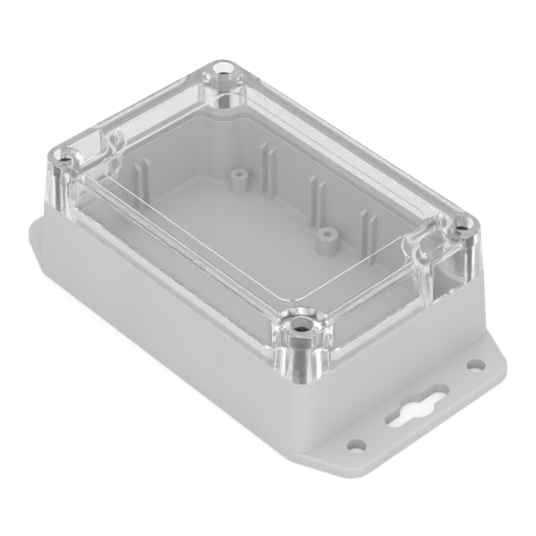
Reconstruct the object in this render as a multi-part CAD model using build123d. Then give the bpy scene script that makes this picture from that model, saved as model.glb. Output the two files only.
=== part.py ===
from build123d import *
import os
from math import atan, cos, degrees, radians, sin, tan

# Project box with a clear lid, in millimetres. Z points up and the origin is under the middle of the box.
# The box is longest along X. Its two mounting flanges stand out at the ends, flush with the underside.

# Outer walls, measured where base and lid meet
box_length = 98.0
box_width = 64.5
base_height = 23.6
lid_height = 13.9
corner_radius = 4.7
foot_flare = 1.5          # how far each base wall leans out from the parting line to the foot
lid_lean = 1.1            # how far each lid wall leans in from the parting line to the top
rim_width = 3.7           # flat rim that carries the seal
floor_thickness = 3.0
floor_bevel = 0.9         # slope between the floor and the walls
parting_gap = 0.05        # between base and lid, which the seal holds apart
parting_chamfer = 0.25
rim_chamfer = 0.3         # inner edge of the base's rim

# Screw columns in the four corners
screw_inset_x = 5.8       # outer wall to screw axis
screw_inset_y = 5.4
column_radius = 6.2
column_blend = 2.6        # rounding where a column runs into the walls
chamber_reach = 9.7       # two of the columns are this much longer, along the box's short side
chamber_gap = 5.1         # screw axis to the hollow in a long column of the base
pilot_radius = 1.5
pilot_depth = 13.0

# Seal track round the rim, inside the screws
inner_rib = 0.8           # lid wall between the cavity and the groove
groove_width = 1.1
groove_depth = 4.2
tongue_height = 1.5
tongue_clearance = 0.1
seal_clearance = 0.05

# Guide ribs for circuit boards that stand on edge
rib_thickness = 1.0
rib_root = 0.9            # how far a rib runs into the wall
rib_reach = 1.9
rib_top = 19.4
rib_slope = 1.0
board_gap = 2.4
guide_pitch = 18.85
guide_shift_x = 1.3       # middle of the box to the middle of a long wall's row of pairs
guide_shift_y = 1.0       # middle of the box to an end wall's pair
long_wall_guide_count = 4

# Posts for a circuit board that lies flat
post_spacing_x = 67.8
post_spacing_y = 47.4
post_height = 5.2
corner_post_radius = 2.4
corner_post_hole = 1.0
middle_post_radius = 2.85
middle_post_hole = 1.1
post_hole_depth = 6.0
post_root = 0.5           # how far a post runs into the floor

# Mounting flanges
flange_thickness = 3.0
flange_end = 62.5         # middle of the box to the flange's end
flange_splay = 23.5       # degrees between the box's long side and the flange's slanting side
flange_corner = 6.0
flange_fillet = 0.8
fixing_hole_radius = 2.35
fixing_x = 56.2
fixing_y = 20.7
keyhole_radius = 4.25
keyhole_reach = 7.9       # middle of the keyhole to the middle of each slot end

# Clear lid
panel_thickness = 2.6
inner_lean = 1.35         # how far the lid's inner walls lean in from the parting line to the panel
panel_fillet = 0.8        # inside rounding between the panel and the lid's walls
lid_top_fillet = 0.8
strip_width = 2.3         # shallow strip along the top edges, between the corner blocks
strip_depth = 0.25
strip_end = 8.6           # screw axis to a strip's end, beside the short columns
strip_end_x = 1.9         # the same on the long sides, beside the long columns
strip_end_y = 9.6         # the same on the end sides, beside the long columns
window_inset_x = 11.9     # lid top edge to the thinner middle of the panel, measured below
window_inset_y = 7.35
window_radius = 4.6
window_step = 0.8
window_slope_width = 0.05
pocket_wall = 1.3
pocket_rib = 0.8
pocket_corner = 0.4
pocket_roof = 3.0
tube_radius = 3.6
boss_radius = 4.7         # the tube is wider round the screw's head
boss_slope = 1.7          # height of the cone between the two radii

# Lid screws
head_radius = 2.6
head_height = 2.0
head_sink = 2.9           # lid top to the head's top
head_clearance = 0.15
head_chamfer = 0.4
shank_radius = 1.45
shank_length = 18.0
tip_length = 1.6
tip_narrowing = 1.1       # radius lost over the tip
shank_clearance = 0.25
recess_width = 0.85
recess_length = 3.0
recess_depth = 1.2
recess_taper = 12.0       # degrees

# How near an edge or corner lies to a height or place that picks it
tolerance = 0.001

# Places that follow from the sizes
lid_foot = base_height + parting_gap
total_height = lid_foot + lid_height
foot_length = box_length + 2 * foot_flare
foot_width = box_width + 2 * foot_flare
top_length = box_length - 2 * lid_lean
top_width = box_width - 2 * lid_lean
screw_x = box_length / 2 - screw_inset_x
screw_y = box_width / 2 - screw_inset_y
cavity_length = box_length - 2 * rim_width
cavity_width = box_width - 2 * rim_width
panel_underside = total_height - panel_thickness
head_seat = total_height - head_sink - head_height
post_top = floor_thickness + post_height
corners = {
    "front_left": (-screw_x, -screw_y),
    "front_right": (screw_x, -screw_y),
    "back_left": (-screw_x, screw_y),
    "back_right": (screw_x, screw_y),
}


def leaning_block(length, width, height, lean):
    """A block whose walls lean in by lean over its height, with rounded upright edges."""
    block = extrude(Rectangle(length, width), height, taper=degrees(atan(lean / height)))
    upright = block.edges().filter_by(lambda edge: abs(edge.tangent_at(0.5).Z) > 0.9)
    return fillet(upright, corner_radius)


def edges_at(solid, height):
    """The edges of a solid that lie flat at one height."""
    return solid.edges().filter_by_position(Axis.Z, height - tolerance, height + tolerance)


def rounded(plan, radius):
    """A plan with its outward corners rounded."""
    return offset(offset(plan, -radius), radius)


def both_ends(shape):
    """A shape and its twin, turned half a turn about the box's upright middle axis."""
    return [shape, Rot(0, 0, 180) * shape]


def cavity_plan():
    """Plan of the space inside: a rectangle with a screw column bulging into each corner."""
    plan = Rectangle(cavity_length, cavity_width)
    plan -= both_ends(Pos(screw_x, -screw_y) * Circle(column_radius))
    long_column = SlotCenterToCenter(chamber_reach, 2 * column_radius, rotation=90)
    plan -= both_ends(Pos(screw_x, screw_y - chamber_reach / 2) * long_column)
    return rounded(plan, column_blend)


def track_plan(inner, outer):
    """A closed band that follows the cavity's outline, between two distances outside it."""
    return offset(cavity_plan(), outer) - offset(cavity_plan(), inner)


def pocket_plan(column):
    """Plan of the hollows outside the seal track, round screw columns of one radius."""
    inside_length = top_length - 2 * pocket_wall
    inside_width = top_width - 2 * pocket_wall
    plan = RectangleRounded(inside_length, inside_width, corner_radius - pocket_wall)
    plan -= offset(cavity_plan(), inner_rib + groove_width + pocket_rib)
    for x, y in corners.values():
        plan -= Pos(x, y) * Circle(column)
    return plan


def chamber_plan():
    """Plan of the hollow in the base's long column at +X, beside the round part that holds the screw."""
    beside_screw = Pos(screw_x, screw_y / 2) * Rectangle(2 * screw_inset_x, screw_y)
    return rounded(pocket_plan(chamber_gap) & beside_screw, pocket_corner)


def flange_plate():
    """One mounting flange at +X, its sides tangent to the base's rounded corners."""
    turn = radians(flange_splay)
    root_x = foot_length / 2 - corner_radius + corner_radius * sin(turn)
    root_y = foot_width / 2 - corner_radius + corner_radius * cos(turn)
    end_y = root_y - (flange_end - root_x) * tan(turn)
    outline = Polygon(
        (root_x, -root_y), (flange_end, -end_y), (flange_end, end_y), (root_x, root_y), align=None,
    )
    ends = outline.vertices().filter_by_position(Axis.X, flange_end - tolerance, flange_end + tolerance)
    plate = extrude(fillet(ends, flange_corner), flange_thickness)
    return fillet(edges_at(plate, flange_thickness), flange_fillet)


def flange_cuts():
    """The two fixing holes and the double keyhole between them, at the +X flange."""
    plan = Pos(fixing_x, 0) * Circle(keyhole_radius)
    slot_length = 2 * (keyhole_reach + fixing_hole_radius)
    plan += Pos(fixing_x, 0) * SlotOverall(slot_length, 2 * fixing_hole_radius, rotation=90)
    for y in (-fixing_y, fixing_y):
        plan += Pos(fixing_x, y) * Circle(fixing_hole_radius)
    return extrude(plan, flange_thickness)


def guide_rib():
    """One guide rib standing on the floor, with its back at x = 0, reaching along +X."""
    profile = Polygon(
        (-rib_root, floor_thickness), (rib_reach, floor_thickness), (rib_reach, rib_top - rib_slope),
        (0, rib_top), (-rib_root, rib_top), align=None,
    )
    return extrude(Plane.XZ * profile, rib_thickness / 2, both=True)


def guides():
    """Pairs of ribs on all four walls."""
    rib = guide_rib()
    half_gap = (board_gap + rib_thickness) / 2
    row_start = guide_shift_x - guide_pitch * (long_wall_guide_count - 1) / 2
    ribs = []
    for side in (-half_gap, half_gap):
        for index in range(long_wall_guide_count):
            x = row_start + guide_pitch * index + side
            ribs += both_ends(Pos(x, cavity_width / 2) * Rot(0, 0, -90) * rib)
        ribs += both_ends(Pos(cavity_length / 2, guide_shift_y + side) * Rot(0, 0, 180) * rib)
    return ribs


def board_post(radius):
    """A round post on the floor."""
    return Pos(0, 0, floor_thickness - post_root) * extrude(Circle(radius), post_root + post_height)


def post_hole(radius):
    """The blind screw hole of a board post, which ends inside the floor."""
    return Pos(0, 0, post_top - post_hole_depth) * extrude(Circle(radius), post_hole_depth)


def pilot_hole():
    """The blind hole for a lid screw in its column."""
    return Pos(0, 0, base_height - pilot_depth) * extrude(Circle(pilot_radius), pilot_depth)


def base_shell():
    """The grey base: walls, floor, screw columns, flanges, guide ribs, board posts and seal tongue."""
    shell = leaning_block(foot_length, foot_width, base_height, foot_flare)
    shell = chamfer(edges_at(shell, base_height), parting_chamfer)
    shell += both_ends(flange_plate())
    cavity = Pos(0, 0, floor_thickness) * extrude(cavity_plan(), base_height - floor_thickness)
    shell -= chamfer(edges_at(cavity, floor_thickness), floor_bevel)
    shell -= Pos(0, 0, base_height - rim_chamfer) * extrude(cavity_plan(), rim_chamfer, taper=-45)
    shell += guides()
    shell -= both_ends(Pos(0, 0, floor_thickness) * extrude(chamber_plan(), base_height))

    tongue = track_plan(inner_rib + tongue_clearance, inner_rib + groove_width - tongue_clearance)
    shell += Pos(0, 0, base_height) * extrude(tongue, tongue_height)

    corner_post = board_post(corner_post_radius)
    middle_post = board_post(middle_post_radius)
    for y in (-post_spacing_y / 2, post_spacing_y / 2):
        for x in (-post_spacing_x / 2, post_spacing_x / 2):
            shell += Pos(x, y) * corner_post
            shell -= Pos(x, y) * post_hole(corner_post_hole)
        shell += Pos(0, y) * middle_post
        shell -= Pos(0, y) * post_hole(middle_post_hole)

    hole = pilot_hole()
    for x, y in corners.values():
        shell -= Pos(x, y) * hole

    return shell - both_ends(flange_cuts())


def edge_strips():
    """The shallow strips that lower the lid's top edges between the corners."""
    long_strip = SlotOverall(2 * screw_x - strip_end - strip_end_x, 2 * strip_width)
    end_strip = SlotOverall(2 * screw_y - strip_end - strip_end_y, 2 * strip_width, rotation=90)
    plan = Sketch() + both_ends(Pos((strip_end - strip_end_x) / 2, top_width / 2) * long_strip)
    plan += both_ends(Pos(top_length / 2, (strip_end - strip_end_y) / 2) * end_strip)
    return Pos(0, 0, total_height - strip_depth) * extrude(plan, strip_depth)


def window_recess():
    """The thinner middle of the lid's panel, cut from below with slanting sides."""
    window = RectangleRounded(
        top_length - 2 * window_inset_x, top_width - 2 * window_inset_y, window_radius,
    )
    slope_angle = degrees(atan(window_slope_width / window_step))
    return Pos(0, 0, panel_underside) * extrude(window, window_step, taper=slope_angle)


def screw_boss():
    """The lid's solid round one screw inside the pockets, wider round the head than below it."""
    ceiling = total_height - pocket_roof
    profile = Polygon(
        (0, head_seat - boss_slope), (tube_radius, head_seat - boss_slope), (boss_radius, head_seat),
        (boss_radius, ceiling), (0, ceiling), align=None,
    )
    return revolve(Plane.XZ * profile, Axis.Z)


def corner_pockets():
    """Hollows in the lid's corners, round the screw tubes."""
    plan = rounded(pocket_plan(tube_radius), pocket_corner)
    pockets = Pos(0, 0, lid_foot) * extrude(plan, lid_height - pocket_roof)
    boss = screw_boss()
    return pockets - [Pos(x, y) * boss for x, y in corners.values()]


def lid():
    """The clear lid, one moulding, with the seal groove, the corner pockets and the screw tubes."""
    shell = Pos(0, 0, lid_foot) * leaning_block(box_length, box_width, lid_height, lid_lean)
    shell = chamfer(edges_at(shell, lid_foot), parting_chamfer)
    shell = fillet(edges_at(shell, total_height), lid_top_fillet)
    shell -= edge_strips()
    cavity_height = lid_height - panel_thickness
    inner_slope = degrees(atan(inner_lean / cavity_height))
    cavity = Pos(0, 0, lid_foot) * extrude(cavity_plan(), cavity_height, taper=inner_slope)
    shell -= fillet(edges_at(cavity, panel_underside), panel_fillet)
    shell -= window_recess()
    shell -= Pos(0, 0, lid_foot) * extrude(track_plan(inner_rib, inner_rib + groove_width), groove_depth)
    shell -= corner_pockets()
    bore = Pos(0, 0, lid_foot) * extrude(Circle(shank_radius + shank_clearance), lid_height)
    counterbore_depth = head_height + head_sink
    counterbore = Pos(0, 0, head_seat) * extrude(Circle(head_radius + head_clearance), counterbore_depth)
    for x, y in corners.values():
        shell -= [Pos(x, y) * bore, Pos(x, y) * counterbore]
    return shell


def lid_seal():
    """The soft ring at the bottom of the lid's groove, over the base's tongue."""
    plan = track_plan(inner_rib + seal_clearance, inner_rib + groove_width - seal_clearance)
    foot = base_height + tongue_height + seal_clearance
    return Pos(0, 0, foot) * extrude(plan, groove_depth - tongue_height - seal_clearance)


def lid_screw():
    """One lid screw: cylinder head with a bevelled rim and a cross recess, and a pointed shank."""
    head = Pos(0, 0, head_seat) * extrude(Circle(head_radius), head_height)
    head = chamfer(edges_at(head, head_seat + head_height), head_chamfer)
    cross = Rectangle(recess_length, recess_width) + Rectangle(recess_width, recess_length)
    head -= Pos(0, 0, head_seat + head_height) * extrude(cross, -recess_depth, taper=recess_taper)
    tip = head_seat - shank_length
    shank = Pos(0, 0, tip) * extrude(Circle(shank_radius), shank_length)
    shank = chamfer(edges_at(shank, tip), length=tip_length, length2=tip_narrowing)
    return head + shank


os.makedirs("parts", exist_ok=True)
export_step(base_shell(), "parts/base_shell.step")
export_step(lid(), "parts/lid.step")
export_step(lid_seal(), "parts/lid_seal.step")
screw = lid_screw()
for name, (x, y) in corners.items():
    export_step(Pos(x, y) * screw, f"parts/lid_screw_{name}.step")
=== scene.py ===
import math

import bpy
from mathutils import Matrix, Vector

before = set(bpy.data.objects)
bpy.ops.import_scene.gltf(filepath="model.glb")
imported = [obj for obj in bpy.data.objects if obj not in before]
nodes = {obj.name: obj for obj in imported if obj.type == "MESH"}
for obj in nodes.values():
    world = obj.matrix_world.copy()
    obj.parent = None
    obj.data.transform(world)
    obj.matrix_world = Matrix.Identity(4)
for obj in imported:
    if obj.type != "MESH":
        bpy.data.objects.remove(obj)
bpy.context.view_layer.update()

MM = 0.001

# Camera, fitted to the photograph's edges and holes
SENSOR = 36.0
FOCAL_PX, FRAME_PX = 2468.07, 536
CAMERA_AT = Vector((348.245, -320.96, 420.955)) * MM
YAW, PITCH, ROLL = math.radians(137.102), math.radians(40.847), math.radians(-0.008)
CLIP_NEAR, CLIP_FAR = 0.01, 20

# Floor, a pale sheet whose glow rises with distance, so that no horizon shows (metres)
FLOOR_HALF = 3.0
FLOOR_DROP = 0.0002
GLOW_FROM, GLOW_TO = 0.12, 0.6
GLOW_NEAR, GLOW_FAR = 0.25, 0.42

# World strength, as the light it gives and as the backdrop it shows
WORLD_LIGHT, WORLD_SHOWN = 0.75, 1.0

# Soft lamps: place and size in metres, power in watts
LAMP_TARGET = Vector((0, 0, 0.02))
LAMPS = {
    "lamp_top": {"at": (-0.1, 0.1, 0.9), "size": (0.9, 0.9), "power": 2.5},
    "lamp_right": {"at": (0.8, 0.1, 0.35), "size": (0.7, 0.6), "power": 1.5},
    "lamp_front": {"at": (0.25, -0.75, 0.55), "size": (0.8, 0.6), "power": 2.5},
}

# A path crosses many of the lid's surfaces before it leaves
CLEAR_BOUNCES = 32
DIFFUSE_BOUNCES = 6

# Socket numbers of Blender's Mix node in its colour mode
MIX_FACTOR, MIX_A, MIX_B, MIX_RESULT = 0, 6, 7, 2


def add_camera():
    """A long lens at the photograph's angle, with no shift."""
    forward = Vector((math.cos(YAW) * math.cos(PITCH), math.sin(YAW) * math.cos(PITCH), -math.sin(PITCH)))
    right = Vector((math.sin(YAW), -math.cos(YAW), 0))
    up = right.cross(forward)
    turn = Matrix.Rotation(ROLL, 3, forward)
    right, up = turn @ right, turn @ up
    data = bpy.data.cameras.new("camera")
    data.sensor_fit = "HORIZONTAL"
    data.sensor_width = SENSOR
    data.lens = FOCAL_PX / FRAME_PX * SENSOR
    data.clip_start, data.clip_end = CLIP_NEAR, CLIP_FAR
    cam = bpy.data.objects.new("camera", data)
    axes = Matrix((right, up, -forward)).transposed()
    cam.matrix_world = Matrix.Translation(CAMERA_AT) @ axes.to_4x4()
    bpy.context.scene.collection.objects.link(cam)
    bpy.context.scene.camera = cam


def grey(level):
    """A neutral colour with full alpha."""
    return (level, level, level, 1)


def new_material(name):
    """A material with an empty node tree."""
    mat = bpy.data.materials.new(name)
    mat.use_nodes = True
    tree = mat.node_tree
    tree.nodes.clear()
    return mat, tree


def node(tree, kind, inputs=None, **props):
    """A new node. A socket among its inputs is linked, and any other value is set."""
    made = tree.nodes.new(kind)
    for key, value in props.items():
        setattr(made, key, value)
    for key, value in (inputs or {}).items():
        if isinstance(value, bpy.types.NodeSocket):
            tree.links.new(value, made.inputs[key])
        else:
            made.inputs[key].default_value = value
    return made


def math_node(tree, operation, *values):
    """The result of one operation on sockets or numbers."""
    return node(tree, "ShaderNodeMath", dict(enumerate(values)), operation=operation).outputs[0]


def coords(tree, output="Object"):
    return node(tree, "ShaderNodeTexCoord").outputs[output]


def noise(tree, scale, detail=3.0, rough=0.55, vector=None):
    inputs = {"Vector": vector or coords(tree), "Scale": scale, "Detail": detail, "Roughness": rough}
    return node(tree, "ShaderNodeTexNoise", inputs).outputs["Fac"]


def ramp(tree, value, low, high, start=0.3, end=0.7):
    """Go from low to high as the value goes from start to end, and stay there outside."""
    inputs = {"Value": value, "From Min": start, "From Max": end, "To Min": low, "To Max": high}
    return node(tree, "ShaderNodeMapRange", inputs).outputs["Result"]


def mottled(tree, value, colour_a, colour_b):
    """Two colours blended by a noise value."""
    inputs = {MIX_FACTOR: ramp(tree, value, 0, 1), MIX_A: colour_a, MIX_B: colour_b}
    return node(tree, "ShaderNodeMix", inputs, data_type="RGBA").outputs[MIX_RESULT]


def bump(tree, height, strength, distance, normal=None):
    inputs = {"Height": height, "Strength": strength, "Distance": distance}
    if normal:
        inputs["Normal"] = normal
    return node(tree, "ShaderNodeBump", inputs).outputs["Normal"]


def mix_shaders(tree, factor, first, second):
    return node(tree, "ShaderNodeMixShader", {0: factor, 1: first.outputs[0], 2: second.outputs[0]})


def set_surface(tree, shader, kind="ShaderNodeOutputMaterial"):
    """Give a material's or the world's shader to its output."""
    node(tree, kind, {"Surface": shader.outputs[0]})


def seen_directly(tree):
    """1 for a ray from the camera, off a gloss or through the lid, and 0 for one that gathers light."""
    path = node(tree, "ShaderNodeLightPath")
    seen = math_node(tree, "MAXIMUM", path.outputs["Is Camera Ray"], path.outputs["Is Glossy Ray"])
    return math_node(tree, "MAXIMUM", seen, path.outputs["Is Transmission Ray"])


def base_plastic():
    """Light-grey matte plastic with a fine spark-eroded grain and faint mottling."""
    mat, tree = new_material("base_plastic")
    at = coords(tree)
    mottle = noise(tree, scale=60, detail=2, rough=0.5, vector=at)
    grain = noise(tree, scale=2600, detail=2, rough=0.6, vector=at)
    soft = noise(tree, scale=500, detail=2, rough=0.5, vector=at)
    fine_normal = bump(tree, grain, strength=0.35, distance=0.00004)
    shader = node(tree, "ShaderNodeBsdfPrincipled", {
        "Base Color": mottled(tree, mottle, (0.505, 0.507, 0.508, 1), (0.53, 0.532, 0.533, 1)),
        "Roughness": ramp(tree, grain, low=0.5, high=0.62),
        "IOR": 1.5,
        "Specular IOR Level": 0.4,
        "Normal": bump(tree, soft, strength=0.15, distance=0.00006, normal=fine_normal),
    })
    set_surface(tree, shader)
    return mat


def clear_plastic():
    """Clear plastic, polished where it lies level and faintly grained on the walls.

    Light on its way to the inside passes straight through, as clear caustics are off.
    """
    mat, tree = new_material("lid_clear")
    ripple = noise(tree, scale=90, detail=1, rough=0.4)
    facing = node(tree, "ShaderNodeSeparateXYZ", {0: coords(tree, "Normal")})
    level = math_node(tree, "ABSOLUTE", facing.outputs["Z"])
    shader = node(tree, "ShaderNodeBsdfPrincipled", {
        "Base Color": grey(0.86),
        "Roughness": ramp(tree, level, low=0.1, high=0.03, start=0.3, end=0.8),
        "IOR": 1.57,
        "Transmission Weight": 0.97,
        "Normal": bump(tree, ripple, strength=0.05, distance=0.0001),
    })
    path = node(tree, "ShaderNodeLightPath")
    through = node(tree, "ShaderNodeBsdfTransparent", {"Color": grey(0.92)})
    for ray in ("Is Diffuse Ray", "Is Shadow Ray"):
        shader = mix_shaders(tree, path.outputs[ray], shader, through)
    set_surface(tree, shader)
    return mat


def seal_rubber():
    """Pale, slightly milky silicone."""
    mat, tree = new_material("seal_rubber")
    shader = node(tree, "ShaderNodeBsdfPrincipled", {
        "Base Color": mottled(tree, noise(tree, scale=300), grey(0.82), grey(0.88)),
        "Roughness": 0.45,
        "IOR": 1.42,
        "Normal": bump(tree, noise(tree, scale=900), strength=0.1, distance=0.00005),
    })
    set_surface(tree, shader)
    return mat


def screw_steel():
    """Dark plated steel with fine, slightly brighter wear."""
    mat, tree = new_material("screw_steel")
    wear = noise(tree, scale=3500)
    shader = node(tree, "ShaderNodeBsdfPrincipled", {
        "Base Color": mottled(tree, wear, grey(0.03), grey(0.12)),
        "Metallic": 1.0,
        "Roughness": ramp(tree, wear, low=0.28, high=0.42),
        "Normal": bump(tree, noise(tree, scale=1500), strength=0.15, distance=0.00004),
    })
    set_surface(tree, shader)
    return mat


def floor_paper():
    """Pale paper that takes the part's shadow and glows a little where it is seen."""
    mat, tree = new_material("floor_paper")
    away = node(tree, "ShaderNodeVectorMath", {0: coords(tree)}, operation="LENGTH").outputs["Value"]
    glow = ramp(tree, away, low=GLOW_NEAR, high=GLOW_FAR, start=GLOW_FROM, end=GLOW_TO)
    paper = node(tree, "ShaderNodeBsdfDiffuse", {"Color": grey(0.8)})
    lift = node(tree, "ShaderNodeEmission", {
        "Color": grey(1), "Strength": math_node(tree, "MULTIPLY", seen_directly(tree), glow),
    })
    set_surface(tree, node(tree, "ShaderNodeAddShader", {0: paper.outputs[0], 1: lift.outputs[0]}))
    return mat


def dress(names, mat):
    """Give the CAD nodes a material."""
    for name in names:
        for slot in nodes[name].material_slots:
            slot.material = mat


def add_floor():
    """A wide sheet just below the part."""
    half = FLOOR_HALF
    mesh = bpy.data.meshes.new("floor")
    corners = [(-half, -half, 0), (half, -half, 0), (half, half, 0), (-half, half, 0)]
    mesh.from_pydata(corners, [], [(0, 1, 2, 3)])
    mesh.materials.append(floor_paper())
    floor = bpy.data.objects.new("floor", mesh)
    floor.location.z = -FLOOR_DROP
    bpy.context.scene.collection.objects.link(floor)


def set_world():
    """Even light all round, shown as plain white."""
    world = bpy.data.worlds.new("world")
    bpy.context.scene.world = world
    world.use_nodes = True
    tree = world.node_tree
    tree.nodes.clear()
    light = node(tree, "ShaderNodeBackground", {"Color": grey(1), "Strength": WORLD_LIGHT})
    shown = node(tree, "ShaderNodeBackground", {"Color": grey(1), "Strength": WORLD_SHOWN})
    set_surface(tree, mix_shaders(tree, seen_directly(tree), light, shown), "ShaderNodeOutputWorld")


def add_lamp(name, at, size, power):
    """A rectangular lamp that points at the part."""
    data = bpy.data.lights.new(name, "AREA")
    data.shape = "RECTANGLE"
    data.size, data.size_y = size
    data.energy = power
    lamp = bpy.data.objects.new(name, data)
    lamp.location = at
    lamp.rotation_euler = (LAMP_TARGET - Vector(at)).to_track_quat("-Z", "Y").to_euler()
    bpy.context.scene.collection.objects.link(lamp)


def set_render():
    """Plain colours, and enough bounces for the clear lid."""
    scene = bpy.context.scene
    scene.view_settings.view_transform = "Standard"
    cycles = scene.cycles
    cycles.use_denoising = True
    cycles.max_bounces = CLEAR_BOUNCES
    cycles.transmission_bounces = CLEAR_BOUNCES
    cycles.glossy_bounces = CLEAR_BOUNCES
    cycles.transparent_max_bounces = CLEAR_BOUNCES
    cycles.diffuse_bounces = DIFFUSE_BOUNCES
    cycles.caustics_reflective = False
    cycles.caustics_refractive = False


add_camera()
add_floor()
set_world()
for lamp_name, lamp_values in LAMPS.items():
    add_lamp(lamp_name, **lamp_values)
set_render()

dress(["base_shell"], base_plastic())
dress(["lid"], clear_plastic())
dress(["lid_seal"], seal_rubber())
dress([name for name in nodes if name.startswith("lid_screw")], screw_steel())
